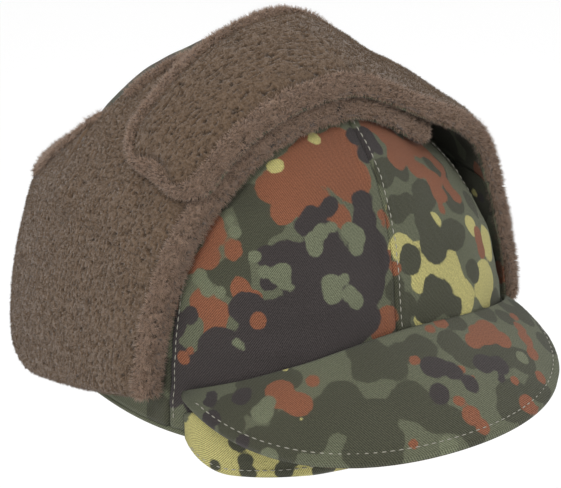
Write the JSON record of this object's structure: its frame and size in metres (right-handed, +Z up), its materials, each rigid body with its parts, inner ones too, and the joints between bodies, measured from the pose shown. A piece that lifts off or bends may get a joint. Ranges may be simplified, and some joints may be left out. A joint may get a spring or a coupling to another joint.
{
  "type": "winter field cap with ear flaps",
  "caption": "Padded winter cap in camouflage twill with a stiffened visor, and pile-lined ear and neck flaps folded up and crossed over the crown.",
  "frame": {"origin": "centre of the head opening, in the plane of the crown rim", "axes": "-Y is the way the wearer faces, -X the wearer's right, +Z up towards the crown"},
  "size_m": [0.197, 0.2508, 0.1585],
  "materials": {
    "camouflage_twill": "cotton twill printed in five colours: dark green, grey green, yellow green, red brown and purple black",
    "brown_pile": "short dense curly pile, matte",
    "wadding": "bonded fibre wadding",
    "quilted_lining": "plain woven lining, diamond quilted",
    "sweatband_cloth": "cotton herringbone band",
    "visor_board": "flexible sheet, matte",
    "hook_tape": "woven hook tape",
    "label_cloth": "plain woven tape, blank"
  },
  "bodies": {
    "crown": {"crown_back_left": "camouflage_twill", "crown_back_right": "camouflage_twill", "crown_front_left": "camouflage_twill", "crown_front_right": "camouflage_twill", "crown_lining": "quilted_lining", "crown_side_left": "camouflage_twill", "crown_side_right": "camouflage_twill", "crown_top_patch": "camouflage_twill", "crown_wadding": "wadding", "front_flap_lining": "camouflage_twill", "front_flap_shell": "camouflage_twill", "rim_hem": "camouflage_twill", "size_label": "label_cloth", "sweatband": "sweatband_cloth", "visor_stiffener": "visor_board", "visor_top_cover": "camouflage_twill", "visor_under_cover": "camouflage_twill"},
    "ear_flap_right_front": {"ear_flap_right_front_shell": "camouflage_twill", "ear_flap_right_front_pile": "brown_pile"},
    "ear_flap_right_rear": {"ear_flap_right_rear_shell": "camouflage_twill", "ear_flap_right_rear_pile": "brown_pile"},
    "corner_flap_right_front": {"corner_flap_right_front_shell": "camouflage_twill", "corner_flap_right_front_pile": "brown_pile"},
    "corner_flap_right_rear": {"corner_flap_right_rear_shell": "camouflage_twill", "corner_flap_right_rear_pile": "brown_pile"},
    "neck_flap_right": {"neck_flap_right_shell": "camouflage_twill", "neck_flap_right_pile": "brown_pile"},
    "ear_flap_right_upper": {"ear_flap_right_upper_shell": "camouflage_twill", "ear_flap_right_upper_pile": "brown_pile"},
    "tab_right_1": {"tab_right_1_shell": "camouflage_twill", "tab_right_1_pile": "brown_pile"},
    "tab_right_end": {"tab_right_end_shell": "camouflage_twill", "tab_right_end_pile": "brown_pile"},
    "ear_flap_left_front": {"ear_flap_left_front_shell": "camouflage_twill", "ear_flap_left_front_pile": "brown_pile"},
    "ear_flap_left_rear": {"ear_flap_left_rear_shell": "camouflage_twill", "ear_flap_left_rear_pile": "brown_pile"},
    "corner_flap_left_front": {"corner_flap_left_front_shell": "camouflage_twill", "corner_flap_left_front_pile": "brown_pile"},
    "corner_flap_left_rear": {"corner_flap_left_rear_shell": "camouflage_twill", "corner_flap_left_rear_pile": "brown_pile"},
    "neck_flap_left": {"neck_flap_left_shell": "camouflage_twill", "neck_flap_left_pile": "brown_pile"},
    "ear_flap_left_upper": {"ear_flap_left_upper_shell": "camouflage_twill", "ear_flap_left_upper_pile": "brown_pile"},
    "tab_left_1": {"tab_left_1_shell": "camouflage_twill", "tab_left_1_pile": "brown_pile"},
    "tab_left_2": {"tab_left_2_shell": "camouflage_twill", "tab_left_2_pile": "brown_pile"},
    "tab_left_end": {"tab_left_end_shell": "camouflage_twill", "tab_left_end_pile": "brown_pile", "hook_tape": "hook_tape"}
  },
  "joints": [
    {"name": "flap_band_fold", "type": "hinge", "parent": "crown", "child": "neck_flap_right", "pos_m": [-0.0262, 0.10403, -0.009], "axis": [-0.9849, -0.1728, 0], "range_deg": [0, 180]},
    {"name": "ear_flap_right_front_fold", "type": "hinge", "parent": "crown", "child": "ear_flap_right_front", "pos_m": [-0.09205, -0.0305, 0.01115], "axis": [0.1506, -0.9469, 0.2841], "range_deg": [0, 180]},
    {"name": "ear_flap_right_rear_fold", "type": "hinge", "parent": "crown", "child": "ear_flap_right_rear", "pos_m": [-0.09417, 0.0145, -0.0023], "axis": [-0.0504, -0.9572, 0.285], "range_deg": [0, 180]},
    {"name": "corner_flap_right_front_fold", "type": "hinge", "parent": "crown", "child": "corner_flap_right_front", "pos_m": [-0.08731, 0.05753, -0.009], "axis": [-0.3835, -0.9235, 0], "range_deg": [0, 180]},
    {"name": "corner_flap_right_rear_fold", "type": "hinge", "parent": "crown", "child": "corner_flap_right_rear", "pos_m": [-0.0665, 0.08715, -0.009], "axis": [-0.7638, -0.6455, 0], "range_deg": [0, 180]},
    {"name": "ear_flap_right_upper_straighten", "type": "hinge", "parent": "ear_flap_right_front", "child": "ear_flap_right_upper", "pos_m": [-0.07641, -0.01, 0.07], "axis": [0.0698, -0.9976, 0], "range_deg": [0, 25.01], "deforming": ["ear_flap_right_upper_shell", "ear_flap_right_upper_pile"]},
    {"name": "tab_right_1_straighten", "type": "hinge", "parent": "ear_flap_right_upper", "child": "tab_right_1", "pos_m": [-0.05168, -0.0181, 0.10565], "axis": [0.0513, -0.9858, -0.1601], "range_deg": [0, 33.01], "deforming": ["tab_right_1_shell", "tab_right_1_pile"]},
    {"name": "tab_right_end_straighten", "type": "hinge", "parent": "tab_right_1", "child": "tab_right_end", "pos_m": [0, -0.0275, 0.12692], "axis": [0, -0.9358, -0.3526], "range_deg": [0, 35.01], "deforming": ["tab_right_end_shell", "tab_right_end_pile"]},
    {"name": "ear_flap_left_front_fold", "type": "hinge", "parent": "crown", "child": "ear_flap_left_front", "pos_m": [0.09205, -0.0305, 0.01115], "axis": [0.1506, 0.9469, -0.2841], "range_deg": [0, 180]},
    {"name": "ear_flap_left_rear_fold", "type": "hinge", "parent": "crown", "child": "ear_flap_left_rear", "pos_m": [0.09417, 0.0145, -0.0023], "axis": [-0.0504, 0.9572, -0.285], "range_deg": [0, 180]},
    {"name": "corner_flap_left_front_fold", "type": "hinge", "parent": "crown", "child": "corner_flap_left_front", "pos_m": [0.08731, 0.05753, -0.009], "axis": [-0.3835, 0.9235, 0], "range_deg": [0, 180]},
    {"name": "corner_flap_left_rear_fold", "type": "hinge", "parent": "crown", "child": "corner_flap_left_rear", "pos_m": [0.0665, 0.08715, -0.009], "axis": [-0.7638, 0.6455, 0], "range_deg": [0, 180]},
    {"name": "neck_flap_left_fold", "type": "hinge", "parent": "crown", "child": "neck_flap_left", "pos_m": [0.0262, 0.10403, -0.009], "axis": [-0.9849, 0.1728, 0], "range_deg": [0, 180]},
    {"name": "ear_flap_left_upper_straighten", "type": "hinge", "parent": "ear_flap_left_front", "child": "ear_flap_left_upper", "pos_m": [0.07933, -0.01, 0.06929], "axis": [0.0662, 0.9978, 0.005], "range_deg": [0, 25.01], "deforming": ["ear_flap_left_upper_shell", "ear_flap_left_upper_pile"]},
    {"name": "tab_left_1_straighten", "type": "hinge", "parent": "ear_flap_left_upper", "child": "tab_left_1", "pos_m": [0.05626, -0.0181, 0.10276], "axis": [0.0458, 0.9896, 0.1363], "range_deg": [0, 33.01], "deforming": ["tab_left_1_shell", "tab_left_1_pile"]},
    {"name": "tab_left_2_straighten", "type": "hinge", "parent": "tab_left_1", "child": "tab_left_2", "pos_m": [0.00343, -0.0275, 0.13521], "axis": [0.0038, 0.9469, 0.3215], "range_deg": [0, 30.01], "deforming": ["tab_left_2_shell", "tab_left_2_pile"]},
    {"name": "left_tab_peel", "type": "hinge", "parent": "tab_left_2", "child": "tab_left_end", "pos_m": [-0.03678, -0.0275, 0.12697], "axis": [-0.0422, 0.9665, 0.2531], "range_deg": [0, 70], "deforming": ["tab_left_end_shell", "tab_left_end_pile", "hook_tape"]}
  ],
  "couplings": [
    {"joint": "ear_flap_right_front_fold", "follows": "flap_band_fold", "ratio": 1},
    {"joint": "ear_flap_right_rear_fold", "follows": "flap_band_fold", "ratio": 1},
    {"joint": "corner_flap_right_front_fold", "follows": "flap_band_fold", "ratio": 1},
    {"joint": "corner_flap_right_rear_fold", "follows": "flap_band_fold", "ratio": 1},
    {"joint": "ear_flap_right_upper_straighten", "follows": "flap_band_fold", "ratio": 0.13889},
    {"joint": "tab_right_1_straighten", "follows": "flap_band_fold", "ratio": 0.18333},
    {"joint": "tab_right_end_straighten", "follows": "flap_band_fold", "ratio": 0.19444},
    {"joint": "ear_flap_left_front_fold", "follows": "flap_band_fold", "ratio": 1},
    {"joint": "ear_flap_left_rear_fold", "follows": "flap_band_fold", "ratio": 1},
    {"joint": "corner_flap_left_front_fold", "follows": "flap_band_fold", "ratio": 1},
    {"joint": "corner_flap_left_rear_fold", "follows": "flap_band_fold", "ratio": 1},
    {"joint": "neck_flap_left_fold", "follows": "flap_band_fold", "ratio": 1},
    {"joint": "ear_flap_left_upper_straighten", "follows": "flap_band_fold", "ratio": 0.13889},
    {"joint": "tab_left_1_straighten", "follows": "flap_band_fold", "ratio": 0.18333},
    {"joint": "tab_left_2_straighten", "follows": "flap_band_fold", "ratio": 0.16667}
  ]
}
